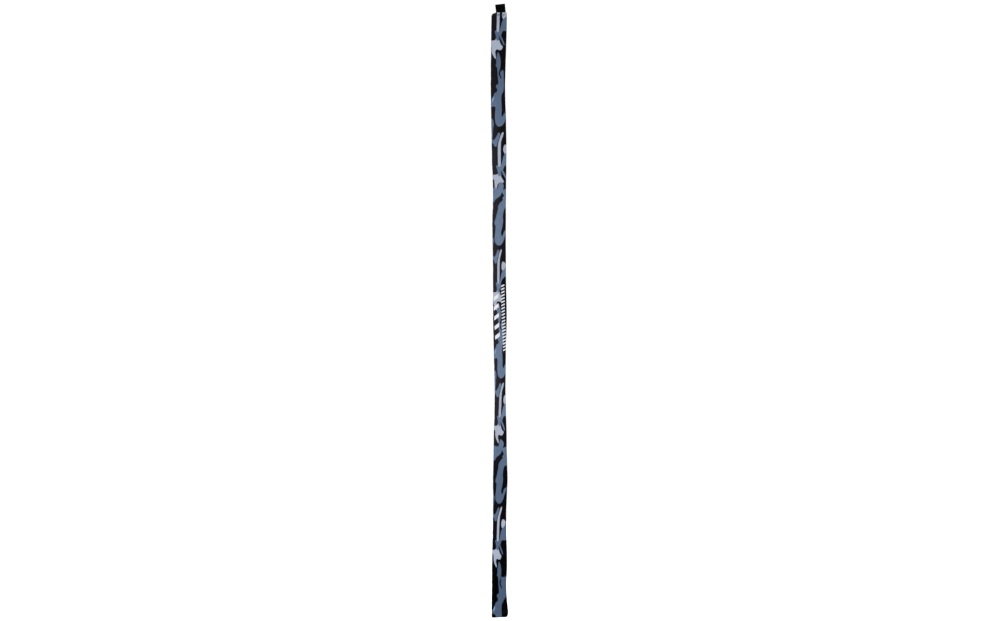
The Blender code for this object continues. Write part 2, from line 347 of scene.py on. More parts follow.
def hem_row_depths():
    """Depths of the two rows of hem stitching, from their CAD solids."""
    rows = []
    for node in ("mouth_hem_stitch_upper", "mouth_hem_stitch_lower"):
        low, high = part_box(node)
        rows.append(TOP_Z - (low.z + high.z) / 2)
    return rows


def cloth_rings(depths, insets):
    """The cloth's points, shape (rings, columns, 3)."""
    flat = flat_rings(depths, insets)
    out = ring_normals(flat)
    moved = flat + out * (drape(depths) + stitch_dents(depths, insets))[:, :, None]
    to_mouth = ease((depths - LENGTH + MOUTH_SLANT_RISE) / MOUTH_SLANT_RISE)[:, None]
    lower = MOUTH_SLANT * to_mouth * (0.5 - flat[:, :, 0] / MOUTH_WIDTH)
    heights = (TOP_Z - depths)[:, None] - lower
    return np.concatenate([moved, heights[:, :, None]], axis=-1)


# ----------------------------------------------------------------------------
# Meshes
# ----------------------------------------------------------------------------


def ladder(loop):
    """Faces that close a flattened ring, rung by rung, facing up where the ring is read from above."""
    count = len(loop)
    faces = []
    for k in range(count // 2):
        corners = [loop[k], loop[k + 1], loop[count - k - 1], loop[(count - k) % count]]
        faces.append([c for n, c in enumerate(corners) if c not in corners[:n]])
    return faces


def tube_faces(ring_count, column_count):
    """Quads between the rings, facing out, and the two closing caps."""
    index = np.arange(ring_count * column_count).reshape(ring_count, column_count)
    after = np.roll(index, -1, axis=1)
    quads = np.stack([index[:-1], index[1:], after[1:], after[:-1]], axis=-1).reshape(-1, 4)
    caps = ladder(index[0].tolist()) + [face[::-1] for face in ladder(index[-1].tolist())]
    return quads, caps


def add_piece(name, points, faces, smooth=True):
    """One mesh object in the frame's axes."""
    mesh = bpy.data.meshes.new(name)
    mesh.from_pydata([tuple(p) for p in points], [], faces)
    mesh.validate()
    if smooth:
        mesh.shade_smooth()
    piece = bpy.data.objects.new(name, mesh)
    bpy.context.scene.collection.objects.link(piece)
    return piece


def set_uv(piece, name, corners, cap_corner=(0.0, 0.0)):
    """Write a UV map from the quads' corners, in order. The caps share one corner."""
    layer = piece.data.uv_layers.new(name=name)
    flat = np.full((len(piece.data.loops), 2), cap_corner, float)
    flat[: len(corners)] = corners
    layer.data.foreach_set("uv", flat.astype(np.float32).ravel())


def quad_corners(ring_values, column_values):
    """Corner pairs (column value, ring value) of a tube's quads, from one more column value than columns."""
    ring_pairs = np.stack([ring_values[:-1], ring_values[1:], ring_values[1:], ring_values[:-1]], axis=-1)
    near, beyond = column_values[:-1], column_values[1:]
    column_pairs = np.stack([near, near, beyond, beyond], axis=-1)
    rows, columns = len(ring_values) - 1, len(column_values) - 1
    v = np.repeat(ring_pairs[:, None, :], columns, axis=1)
    u = np.repeat(column_pairs[None, :, :], rows, axis=0)
    return np.stack([u, v], axis=-1)


# ----------------------------------------------------------------------------
# The print, drawn in millimetres: across from the left edge, and down from the top of each motif's star
# ----------------------------------------------------------------------------

# Shapes above every star.
BAR = [
    (27, -110), (29, -108), (26.5, -98), (22.5, -85), (21.3, -65), (20.8, -39), (19.9, -25), (14.5, -24),
    (14.2, -52), (15, -77), (18.5, -90), (23, -104),
]
SLASH = [
    (18.5, -109), (20.5, -105), (18.5, -95), (14, -83), (11.5, -74), (7, -74), (3, -82), (-4, -84),
    (-4, -98), (0, -94), (4, -90), (7, -91.5), (11, -97), (15, -106),
]
DROP = [
    (31, -78), (28, -71), (27.5, -63), (30.5, -55), (34, -58), (40, -64), (41, -72), (36, -77),
]
FLANK = [
    (45, -62), (38, -62), (31, -55), (27, -47), (24, -34), (20, -25), (9.5, -25), (12, -14), (13, -6),
    (15, 3), (20, 3), (22.5, -9), (25, -13), (29, -23), (31, -25), (45, -26), (50, -40),
]
SLIVER = [
    (24, -13), (28, -8), (35, 9), (33, 11), (27, 0), (23, -7),
]
CURVE = [
    (20.5, -10), (23, -9), (26, 1), (30.5, 9), (32, 13), (28.5, 13), (23, 4),
]
# The star, with a long tail, a hooked one or a short one.
STAR_LONG = [
    (-9, 1), (9.5, -1), (13, -6), (15, 0), (22, -1), (25, 8), (29.5, 14), (29, 19), (25, 24), (19, 23),
    (16, 22), (12.5, 24), (11, 29), (12, 36), (13, 46), (9, 43), (4, 34), (1.5, 27), (1, 16), (-2, 11),
    (-9, 11),
]
STAR_HOOKED = [
    (-9, 1), (9.5, -1), (13, -6), (15, 0), (22, -1), (25, 8), (29.5, 14), (29, 19), (25, 24), (19, 23),
    (16, 22), (13.5, 25), (13, 30), (15, 37), (15.5, 44), (11.5, 40), (8, 33), (5.5, 25), (5, 16), (3, 10),
    (-9, 9),
]
STAR_SHORT = [
    (-9, 0), (10.5, -2), (13, -5), (16, 2), (20.5, 1), (25, 9), (28, 14), (28, 17), (25, 19), (20, 17),
    (13.5, 21), (11.5, 27), (10.5, 31), (8, 33), (5.5, 32), (5, 22), (4, 12), (1, 10), (-9, 9),
]
# Below the star: a spindle that widens into a tongue.
SPINDLE = [
    (18.5, 29), (22, 35), (25, 48), (25, 61), (23, 73), (21, 80), (25, 79), (32, 75), (33, 99), (33, 119),
    (31.5, 130), (27.5, 137), (26.5, 150), (27.5, 175), (26.5, 188), (29.5, 193), (32, 187), (38, 182),
    (37, 196), (34, 206), (28.5, 215), (22, 218), (16.5, 217), (12, 211), (10, 198), (10.5, 183), (11, 168),
    (0, 168), (-8, 168), (-8, 152), (0, 151), (3, 147), (6.5, 140), (10, 133), (15, 130), (16.5, 124),
    (13, 117), (14.5, 112), (19, 109), (18.5, 99), (17.5, 89), (17, 76), (16, 68), (12.5, 64), (14.5, 57),
    (14, 48), (15.5, 40), (17, 31),
]
HOOK = [
    (22, 76), (20.3, 81), (21, 88), (26.5, 98), (27.5, 96), (24.5, 87), (24, 79),
]
GLINT = [
    (3, 152), (5, 145), (8.5, 142), (7, 149), (4.5, 156),
]
SPINDLE_EDGE = [
    (-9, 198), (1, 198), (4.5, 200), (6.5, 211), (4.5, 223), (3, 241), (1.5, 249), (-9, 252),
]
# Below the star: a wide field with a dark hand across it, and a tongue.
FIELD = [
    (17, 15), (22.5, 18), (26.5, 24), (26, 32), (24, 37), (33, 34), (46, 34), (46, 80), (30, 82), (25, 103),
    (26, 116), (23.5, 133), (21, 143), (21, 151), (23.5, 154), (27, 147), (29, 141), (38, 137), (30, 156),
    (27, 166), (21.5, 175), (15.5, 178), (10, 176), (5, 169), (4, 160), (6, 143), (7, 128), (4.5, 124),
    (4.5, 117), (7.5, 108), (9.5, 97), (11.5, 78), (-9, 76), (-9, 34), (10.5, 33), (13, 25),
]
HAND = [
    (21.5, 43), (27, 52), (22.5, 58), (24.5, 62), (17, 70), (12, 80), (11, 92), (5, 100), (-12, 104),
    (-12, 72), (1.5, 68), (4.5, 62), (13.5, 55), (19, 50),
]
FIELD_EDGE = [
    (-9, 155), (-1, 156), (1.5, 164), (0, 176), (-2, 184), (-9, 186),
]

LEAD_IN = (
    ("slate", FLANK), ("slate", SLASH), ("slate", SLIVER), ("pale", BAR), ("pale", DROP), ("line", CURVE),
)
SPINDLE_MOTIF = (("slate", SPINDLE), ("dark", HOOK), ("glint", GLINT), ("slate", SPINDLE_EDGE))
FIELD_MOTIF = (("slate", FIELD), ("dark", HAND), ("slate", FIELD_EDGE))
# Every motif: the star's depth, the stretch across of what is above it, the star and its own stretch, what is
# below it with its stretch, its shift across, and how much lower it lies.
FRONT_MOTIFS = (
    (72, 1.00, STAR_LONG, 1.02, SPINDLE_MOTIF, 1.00, 0.0, 0),
    (414, 1.08, STAR_SHORT, 1.02, FIELD_MOTIF, 1.00, 1.3, 0),
    (711, 0.80, STAR_LONG, 0.86, SPINDLE_MOTIF, 0.80, 0.0, 0),
    (1050, 0.82, STAR_HOOKED, 0.85, FIELD_MOTIF, 0.88, 2.4, 19),
    (1365, 0.80, STAR_HOOKED, 0.80, SPINDLE_MOTIF, 0.88, 2.0, 0),
)
BACK_SHIFT = 50.0
BACK_MOTIFS = (
    (-90, 1.00, STAR_LONG, 1.00, SPINDLE_MOTIF, 1.00, 0.0, 0),
    (240, 0.95, STAR_SHORT, 1.00, FIELD_MOTIF, 0.95, 1.0, 0),
    (545, 0.85, STAR_LONG, 0.90, SPINDLE_MOTIF, 0.85, -1.0, 0),
    (880, 0.80, STAR_LONG, 0.82, FIELD_MOTIF, 0.85, 1.0, 19),
    (1190, 0.90, STAR_LONG, 0.95, SPINDLE_MOTIF, 0.95, -1.0, 0),
    (1530, 1.00, STAR_SHORT, 1.00, FIELD_MOTIF, 1.00, 1.0, 0),
)
# Plain slanted bars and ticks stand where the real sleeve has its maker's print. Each column of marks is its
# start, pitch, count, left edge and step to the right per mark, then each mark's width, height and right end's
# rise.
BARS = (714.0, 25.0, 5, 2.0, 0.6, 12.0, 10.0, 9.0)
TICKS = (690.0, 8.2, 21, 20.8, 0.15, 8.5, 3.6, 4.0)
MARK_GROUND = [(21, 684), (39, 681), (39, 815), (30, 806), (27, 780), (22, 730)]
MOUTH_PATCH = [(-4, 1527), (7, 1526), (10.5, 1531), (11, 1545), (-4, 1545)]
MOUTH_FLANK = [(24, 1436), (31, 1434), (42, 1431), (42, 1478), (36, 1483), (31, 1492), (27, 1480)]
INKS = ("slate", "dark", "glint", "pale", "line")
FAR = 4.0  # millimetres: distances from a shape's edge stop counting here


def rounded(outline):
    """A closed outline through the given points as a smooth curve, four steps to each point."""
    points = np.array(outline, float)
    before, after, beyond = (np.roll(points, k, axis=0) for k in (1, -1, -2))
    steps = []
    for t in (0.0, 0.25, 0.5, 0.75):
        steps.append(
            points
            + 0.5 * t * (after - before)
            + 0.5 * t**2 * (2 * before - 5 * points + 4 * after - beyond)
            + 0.5 * t**3 * (3 * points - before - 3 * after + beyond)
        )
    return np.stack(steps, axis=1).reshape(-1, 2)


def signed_distance(points, outline):
    """Distance of each point from a closed outline, negative inside it."""
    nearest = np.full(len(points), np.inf)
    inside = np.zeros(len(points), bool)
    for start, end in zip(outline, np.roll(outline, -1, axis=0)):
        edge = end - start
        rel = points - start
        t = np.clip(rel @ edge / max(edge @ edge, 1e-12), 0, 1)
        nearest = np.minimum(nearest, np.linalg.norm(rel - t[:, None] * edge, axis=1))
        if start[1] != end[1]:
            crosses = (start[1] > points[:, 1]) != (end[1] > points[:, 1])
            inside ^= crosses & (points[:, 0] < start[0] + (points[:, 1] - start[1]) * edge[0] / edge[1])
    return np.where(inside, -nearest, nearest)


def print_shapes():
    """Every shape of the print as (ink, outline), in millimetres from the left edge and from the top."""
    shapes = []

    def put(ink, outline, x=0.0, y=0.0, stretch=1.0):
        shapes.append((ink, rounded(outline) * np.array((stretch, 1.0)) + np.array((x, y))))

    for motifs, side in ((FRONT_MOTIFS, 0.0), (BACK_MOTIFS, BACK_SHIFT)):
        for depth, above_stretch, star, star_stretch, below, below_stretch, shift, drop in motifs:
            for ink, outline in LEAD_IN:
                put(ink, outline, side, depth, above_stretch)
            put("pale", star, side, depth, star_stretch)
            for ink, outline in below:
                put(ink, outline, side + shift, depth + drop, below_stretch)
    put("line", MARK_GROUND)
    put("slate", MOUTH_FLANK)
    put("dark", MOUTH_PATCH)
    return shapes


def print_across(depths, insets):
    """Millimetres across the print: flat from the left edge over the front, then on over the back. The corner
    that is cut away at the top counts as if it were there."""
    x = flat_rings(depths, insets)[:, :, 0]
    left = smooth_curve(np.maximum(depths, CORNER_DEPTH), *LEFT_EDGE)[:, None]
    right = smooth_curve(depths, *RIGHT_EDGE)[:, None]
    return np.where(SHARES[None, :] <= 0.5, x - left, (right - left) + (right - x)) * 1000


def write_print(piece, across, along):
    """Store the print's place and each ink's signed distance on the cloth's vertices, in millimetres."""
    where = np.stack([across.ravel(), along.ravel()], axis=-1)
    fields = {ink: np.full(len(where), FAR) for ink in INKS}
    for ink, outline in print_shapes():
        low = outline.min(axis=0) - FAR
        high = outline.max(axis=0) + FAR
        near = np.flatnonzero(((where > low) & (where < high)).all(axis=1))
        if len(near):
            fields[ink][near] = np.minimum(fields[ink][near], signed_distance(where[near], outline))
    fields["across"], fields["along"] = where.T
    for name, field in fields.items():
        layer = piece.data.attributes.new("print_" + name, "FLOAT", "POINT")
        layer.data.foreach_set("value", field.astype(np.float32))


# ----------------------------------------------------------------------------
# Material nodes
# ----------------------------------------------------------------------------


class Look:
    """A material under construction: short calls that add nodes and return their output sockets."""

    def __init__(self, name):
        self.material = bpy.data.materials.new(name)
        self.material.use_nodes = True
        self.tree = self.material.node_tree
        self.shader = self.tree.nodes["Principled BSDF"]

    def node(self, kind, inputs=(), **settings):
        made = self.tree.nodes.new(kind)
        for key, value in settings.items():
            setattr(made, key, value)
        for key, value in dict(inputs).items():
            self.feed(made.inputs[key], value)
        return made

    def feed(self, socket, value):
        if isinstance(value, bpy.types.NodeSocket):
            self.tree.links.new(value, socket)
        else:
            socket.default_value = value

    def calc(self, operation, a, b=0.0):
        return self.node("ShaderNodeMath", {0: a, 1: b}, operation=operation).outputs[0]

    def uv(self, layer):
        return self.node("ShaderNodeUVMap", uv_map=layer).outputs[0]

    def scaled(self, vector, scale):
        return self.node("ShaderNodeVectorMath", {0: vector, 3: scale}, operation="SCALE").outputs[0]

    def noise(self, vector, scale, detail=2.0):
        inputs = {"Vector": vector, "Scale": scale, "Detail": detail}
        return self.node("ShaderNodeTexNoise", inputs).outputs[0]

    def attribute(self, name):
        return self.node("ShaderNodeAttribute", attribute_name=name).outputs["Fac"]

    def remap(self, value, from_low, from_high, to_low=0.0, to_high=1.0, smooth=False):
        inputs = {"Value": value, "From Min": from_low, "From Max": from_high}
        inputs.update({"To Min": to_low, "To Max": to_high})
        kind = "SMOOTHSTEP" if smooth else "LINEAR"
        return self.node("ShaderNodeMapRange", inputs, interpolation_type=kind).outputs[0]

    def mix(self, share, a, b, blend="MIX"):
        made = self.node("ShaderNodeMix", data_type="RGBA", blend_type=blend)
        for key, value in ((0, share), (6, a), (7, b)):
            self.feed(made.inputs[key], value)
        return made.outputs[2]

    def finish(self, colour, roughness, height=None, distance=0.0003, **constants):
        self.feed(self.shader.inputs["Base Color"], colour)
        self.feed(self.shader.inputs["Roughness"], roughness)
        for key, value in constants.items():
            self.shader.inputs[key.replace("_", " ")].default_value = value
        if height is not None:
            bump = self.node("ShaderNodeBump", {"Height": height, "Distance": distance, "Strength": 0.6})
            self.feed(self.shader.inputs["Normal"], bump.outputs[0])
        return self.material


def knit_height(look, cloth):
    """A knit's relief: columns of small V stitches, in the cloth's own metres."""
    parts = look.node("ShaderNodeSeparateXYZ", {0: cloth})
    column = look.calc("PINGPONG", look.calc("DIVIDE", parts.outputs[0], KNIT_COLUMN), 0.5)
    row = look.calc("ADD", look.calc("DIVIDE", parts.outputs[1], KNIT_ROW), column)
    stitch = look.calc("SINE", look.calc("MULTIPLY", row, 2 * math.pi))
    edge = look.calc("MULTIPLY", look.calc("SINE", look.calc("MULTIPLY", column, 2 * math.pi)), 0.8)
    return look.calc("ADD", look.calc("MULTIPLY", stitch, 0.5), edge)


def tinted(look, colour, share, change):
    """A colour made darker and lighter by a share around its middle."""
    darker, lighter = ([c * scale for c in colour[:3]] + [1] for scale in (1 - change, 1 + change))
    return look.mix(share, darker, lighter)


# Black and slate along the sleeve, with painted light: painted lighter in the middle and darker towards its
# two ends, where the light falls off.
BLACK_TOP = (0.0076, 0.0070, 0.0094, 1)
BLACK_MIDDLE = (0.0180, 0.0158, 0.0215, 1)
BLACK_LOWER = (0.0040, 0.0040, 0.0070, 1)
BLACK_MOUTH = (0.0004, 0.0004, 0.0008, 1)
# Painted shade: the black is painted darker towards the folded right edge, and so over the whole back.
BLACK_EDGE_SHADE = (0.0008, 0.0008, 0.0014, 1)  # towards the folded edge
EDGE_SHADE_SHARE = 0.67
SLATE_INK = (0.112, 0.158, 0.240, 1)
PALE_INK = (0.335, 0.368, 0.450, 1)
NAVY_INK = (0.0025, 0.0040, 0.0090, 1)
WHITE_INK = (0.66, 0.67, 0.71, 1)
GLINT_INK = (0.20, 0.27, 0.42, 1)
PLAIN = (1, 1, 1, 1)  # no tint
# Painted shade: how much darker slate and pale are painted at the top, lower down and at the mouth.
PAINTED_SHADE_TOP = (0.66, 0.69, 0.74, 1)
PAINTED_SHADE_LOWER = (0.68, 0.70, 0.75, 1)
PAINTED_SHADE_MOUTH = (0.52, 0.55, 0.60, 1)
PAINTED_SHADE_PALE_TOP = (0.93, 0.95, 0.96, 1)
PAINTED_SHADE_PALE_MOUTH = (0.84, 0.93, 0.98, 1)
# Where each stretch of painted light passes into the next, in millimetres along, and where the painted shade
# darkens the black towards the folded edge, in those across.
TOP_TO_MIDDLE = (100.0, 460.0)
MIDDLE_TO_LOWER = (1030.0, 1180.0)
LOWER_TO_MOUTH = (1300.0, 1450.0)
EDGE_SHADE_SPAN = (7.0, 28.0)

INSIDE_KNIT = (0.030, 0.031, 0.037)
INSIDE_LOOP_HIGHLIGHT = (0.055, 0.056, 0.064, 1)
WEBBING_YARN = (0.0005, 0.0005, 0.0006)
WEBBING_RIB_HIGHLIGHT = (0.0016, 0.0016, 0.0019, 1)
THREAD_DEEP = (0.0060, 0.0060, 0.0070)
THREAD_PLY_HIGHLIGHT = (0.013, 0.013, 0.015, 1)
FLOOR_GREY = (0.9, 0.9, 0.9)


def marks(look, place, column):
    """Distance from the nearest of a column of slanted marks, in millimetres, negative inside one."""
    start, pitch, count, left, step, width, height, rise = column
    across, along = place
    slope = look.calc("MULTIPLY", look.calc("SUBTRACT", across, left), rise / width)
    down = look.calc("SUBTRACT", look.calc("ADD", along, slope), start + rise)
    turn = look.calc("FLOOR", look.calc("DIVIDE", down, pitch))
    middle = look.calc("ADD", look.calc("MULTIPLY", turn, step), left + width / 2)
    beside = look.calc("SUBTRACT", look.calc("ABSOLUTE", look.calc("SUBTRACT", across, middle)), width / 2)
    passed = look.calc("MULTIPLY", turn, pitch)
    within = look.calc("SUBTRACT", look.calc("SUBTRACT", down, passed), height / 2)
    above = look.calc("SUBTRACT", look.calc("ABSOLUTE", within), height / 2)
    span = look.calc("ABSOLUTE", look.calc("SUBTRACT", down, pitch * count / 2))
    beyond = look.calc("SUBTRACT", span, pitch * count / 2)
    return look.calc("MAXIMUM", look.calc("MAXIMUM", beside, above), beyond)


def printed_fabric():
    """The cloth's outside: its inks on a fine knit."""
    look = Look("printed_knit")
    cloth = look.uv("cloth")
    fine = look.scaled(cloth, 1000.0)
    bleed = look.remap(look.noise(fine, 0.55, 3.0), 0, 1, -0.45, 0.45)
    mottle = look.noise(fine, 0.06, 4.0)
    place = look.attribute("print_across"), look.attribute("print_along")
    from_top = look.remap(place[1], *TOP_TO_MIDDLE, smooth=True)
    to_lower = look.remap(place[1], *MIDDLE_TO_LOWER, smooth=True)
    to_mouth = look.remap(place[1], *LOWER_TO_MOUTH, smooth=True)
    # Painted shade: how far the black is painted darker towards the folded right edge.
    edge_shade = look.calc("MULTIPLY", look.remap(place[0], *EDGE_SHADE_SPAN, smooth=True), EDGE_SHADE_SHARE)

    def along(top, middle, lower, mouth):
        """A colour that changes from the top, over the middle and the lower part, to the mouth."""
        return look.mix(to_mouth, look.mix(to_lower, look.mix(from_top, top, middle), lower), mouth)

    # Painted light: the black is painted lighter in the middle of the sleeve and darker towards both ends.
    black = along(BLACK_TOP, BLACK_MIDDLE, BLACK_LOWER, BLACK_MOUTH)
    black = look.mix(edge_shade, black, BLACK_EDGE_SHADE)

    def lay(distance, over, below, soft=0.30):
        edge = look.calc("ADD", distance, bleed)
        return look.mix(look.remap(edge, soft, -soft, smooth=True), below, over)

    # Painted light: slate and pale are painted darker towards both ends of the sleeve.
    slate = tinted(look, SLATE_INK, mottle, 0.12)
    slate = look.mix(1.0, slate, along(PAINTED_SHADE_TOP, PLAIN, PAINTED_SHADE_LOWER, PAINTED_SHADE_MOUTH), "MULTIPLY")
    pale = tinted(look, PALE_INK, mottle, 0.07)
    pale = look.mix(1.0, pale, along(PAINTED_SHADE_PALE_TOP, PLAIN, PLAIN, PAINTED_SHADE_PALE_MOUTH), "MULTIPLY")
    colour = lay(look.attribute("print_slate"), slate, black)
    colour = lay(look.attribute("print_dark"), black, colour)
    colour = lay(look.attribute("print_glint"), GLINT_INK, colour, 0.8)
    colour = lay(look.attribute("print_pale"), pale, colour)
    colour = lay(look.attribute("print_line"), NAVY_INK, colour)
    for column in (BARS, TICKS):
        colour = lay(marks(look, place, column), WHITE_INK, colour, 0.15)
    knit = knit_height(look, cloth)
    heather = look.remap(look.noise(fine, 2.6, 2.0), 0.3, 0.7, 0.90, 1.08)
    # Painted shade: the knit's hollows are painted darker, times a random heather tone; shade holds both.
    knit_shade_and_heather = look.calc("MULTIPLY", look.remap(knit, -1.0, 1.2, 0.82, 1.04), heather)
    shade = look.node("ShaderNodeCombineColor", {0: knit_shade_and_heather, 1: knit_shade_and_heather, 2: knit_shade_and_heather}).outputs[0]
    colour = look.mix(1.0, colour, shade, "MULTIPLY")
    roughness = look.remap(mottle, 0.3, 0.7, 0.80, 0.92)
    return look.finish(colour, roughness, knit, 0.00025, Sheen_Weight=0.002, Sheen_Roughness=0.5,
                       Specular_IOR_Level=0.015)


def cloth_inside():
    """The cloth's unprinted inside: a charcoal knit, its raised loops painted paler as a painted highlight."""
    look = Look("knit_inside")
    cloth = look.uv("cloth")
    knit = knit_height(look, cloth)
    mottle = look.noise(look.scaled(cloth, 1000.0), 0.25, 4.0)
    colour = tinted(look, INSIDE_KNIT, mottle, 0.35)
    # Painted highlight: the knit's raised loops are painted paler.
    colour = look.mix(look.remap(knit, -0.5, 1.2, 0.0, 0.5), colour, INSIDE_LOOP_HIGHLIGHT)
    return look.finish(colour, look.remap(mottle, 0.3, 0.7, 0.84, 0.95), knit, 0.0003, Sheen_Weight=0.05,
                       Specular_IOR_Level=0.25)


def webbing_look():
    """Black woven webbing: crosswise ribs of paired yarns between two plain selvedges, the ribs' crests
    painted paler as a painted highlight.
    """
    look = Look("ribbed_webbing")
    cloth = look.uv("cloth")
    parts = look.node("ShaderNodeSeparateXYZ", {0: cloth})
    yarn = look.calc("PINGPONG", look.calc("DIVIDE", parts.outputs[0], YARN_PITCH), 0.5)
    rib = look.calc("ADD", look.calc("DIVIDE", parts.outputs[1], RIB_PITCH), look.calc("MULTIPLY", yarn, 0.8))
    wave = look.calc("SINE", look.calc("MULTIPLY", rib, 2 * math.pi))
    height = look.calc("ADD", look.calc("MULTIPLY", wave, 0.5), look.calc("MULTIPLY", yarn, 1.6))
    fuzz = look.noise(look.scaled(cloth, 1000.0), 1.8, 3.0)
    colour = tinted(look, WEBBING_YARN, fuzz, 0.35)
    # Painted highlight: the ribs' crests are painted paler.
    colour = look.mix(look.remap(height, 0.2, 1.2, 0.0, 0.45), colour, WEBBING_RIB_HIGHLIGHT)
    return look.finish(colour, look.remap(fuzz, 0.3, 0.7, 0.62, 0.80), height, 0.0002, Sheen_Weight=0.001,
                       Specular_IOR_Level=0.02)


def thread_look():
    """Black polyester thread: plies wound round each other, with a low shine and the plies' crests painted
    paler as a painted highlight.
    """
    look = Look("twisted_thread")
    cloth = look.uv("cloth")
    parts = look.node("ShaderNodeSeparateXYZ", {0: cloth})
    along = look.calc("DIVIDE", parts.outputs[1], PLY_PITCH)
    wind = look.calc("ADD", along, look.calc("MULTIPLY", parts.outputs[0], 2.0))
    ply = look.calc("SINE", look.calc("MULTIPLY", wind, 2 * math.pi))
    fuzz = look.noise(look.scaled(cloth, 1000.0), 3.0, 2.0)
    colour = tinted(look, THREAD_DEEP, fuzz, 0.3)
    # Painted highlight: the plies' crests are painted paler.
    colour = look.mix(look.remap(ply, 0.0, 1.0, 0.0, 0.5), colour, THREAD_PLY_HIGHLIGHT)
    return look.finish(colour, look.remap(fuzz, 0.3, 0.7, 0.48, 0.62), ply, 0.00008, Specular_IOR_Level=0.35)


def floor_look():
    """Pale studio floor with a trace of texture."""
    look = Look("pale_floor")
    where = look.node("ShaderNodeTexCoord").outputs["Object"]
    colour = tinted(look, FLOOR_GREY, look.noise(where, 3.0, 3.0), 0.01)
    return look.finish(colour, 0.9, Specular_IOR_Level=0.1)


# ----------------------------------------------------------------------------
# Pieces
# ----------------------------------------------------------------------------

BAKE_STRIPS = 5
BAKE_GAP = 0.006
BAKE_INSIDE_FROM = 0.885


def strip_layout(along, share, low, high, v_from, v_to):
    """Lay a long cloth out as side-by-side strips. along and share are corner arrays (rows, columns, 4)."""
    place = (along - low) / (high - low) * BAKE_STRIPS
    strip = np.clip(np.floor(place.mean(axis=-1, keepdims=True)), 0, BAKE_STRIPS - 1)
    width = 1 / BAKE_STRIPS
    u = (strip + 0.5) * width + (share - 0.5) * (width - 2 * BAKE_GAP)
    v = v_from + BAKE_GAP + (place - strip) * (v_to - v_from - 2 * BAKE_GAP)
    return np.stack([u, v], axis=-1)


def add_sleeve():
    """The printed cloth: one closed, double-sided skin, hem and pocket included."""
    depths, insets, cloth, inside = cloth_stations()
    points = cloth_rings(depths, insets)
    quads, caps = tube_faces(len(depths), len(SHARES))
    sleeve = add_piece("printed_sleeve", points.reshape(-1, 3), quads.tolist() + caps)
    corners = quad_corners(cloth, np.append(SHARES, 1.0))
    metres = corners * np.array((2 * PRINT_WIDTH / 1000, 1.0))
    set_uv(sleeve, "cloth", metres.reshape(-1, 2))
    inner_row = inside[1:] > 0
    first_inner = int(np.argmax(inner_row))
    bake = np.zeros_like(corners)
    share, along = corners[:first_inner, :, :, 0], corners[:first_inner, :, :, 1]
    bake[:first_inner] = strip_layout(along, share, cloth[0], cloth[first_inner], 0.0, BAKE_INSIDE_FROM)
    low, high = CAVITY_TOP, LENGTH - HEM_DEPTH
    share, along = corners[first_inner:, :, :, 0], np.clip(corners[first_inner:, :, :, 1], low, high)
    bake[first_inner:] = strip_layout(along, share, low, high, BAKE_INSIDE_FROM, 1.0)
    set_uv(sleeve, "OFBake", bake.reshape(-1, 2), (0.999, 0.999))
    across = print_across(depths, insets)
    along = np.repeat(cloth[:, None] * 1000, len(SHARES), axis=1)
    write_print(sleeve, across, along)
    sleeve.data.materials.append(printed_fabric())
    sleeve.data.materials.append(cloth_inside())
    indices = np.zeros(len(sleeve.data.polygons), np.int32)
    indices[: len(quads)] = np.repeat(inner_row, len(SHARES))
    indices[-len(caps) // 2:] = 1
    sleeve.data.polygons.foreach_set("material_index", indices)
    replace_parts(sleeve, "sleeve_body", "mouth_hem_fold")
    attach(sleeve, "sleeve")


class Skin:
    """The cloth's finished outside, to place threads on."""

    def __init__(self):
        self.depths = np.arange(TOP_ROLL, LENGTH - HEM_ROLL, 0.0005)
        wanted = (self.depths < 0.02) | (self.depths > LENGTH - 0.03)
        self.depths = self.depths[wanted]
        self.points = cloth_rings(self.depths, np.zeros(len(self.depths)))

    def ring(self, depth):
        """The outside ring at a depth, closed, with its shares."""
        at = np.interp(depth, self.depths, np.arange(len(self.depths)))
        low = min(int(at), len(self.depths) - 2)
        ring = self.points[low] * (1 - at + low) + self.points[low + 1] * (at - low)
        return np.append(SHARES, 1.0), np.vstack([ring, ring[:1]])

    def at_share(self, depth, share):
        shares, ring = self.ring(depth)
        return np.stack([np.interp(share, shares, ring[:, k]) for k in range(3)], axis=-1)

    def at_x(self, depth, x, side):
        """The point at x on the front (side -1) or on the back (side 1)."""
        shares, ring = self.ring(depth)
        half = len(shares) // 2
        part = slice(0, half + 1) if side < 0 else slice(half, None)
        ring, shares = ring[part], shares[part]
        if side > 0:
            ring, shares = ring[::-1], shares[::-1]
        return self.at_share(depth, np.interp(x, ring[:, 0], shares))


STITCH_SIDES = 8
STITCH_PROFILE = ((0.0, 0.35), (0.12, 0.8), (0.3, 1.0), (0.5, 1.05), (0.7, 1.0), (0.88, 0.8), (1.0, 0.35))


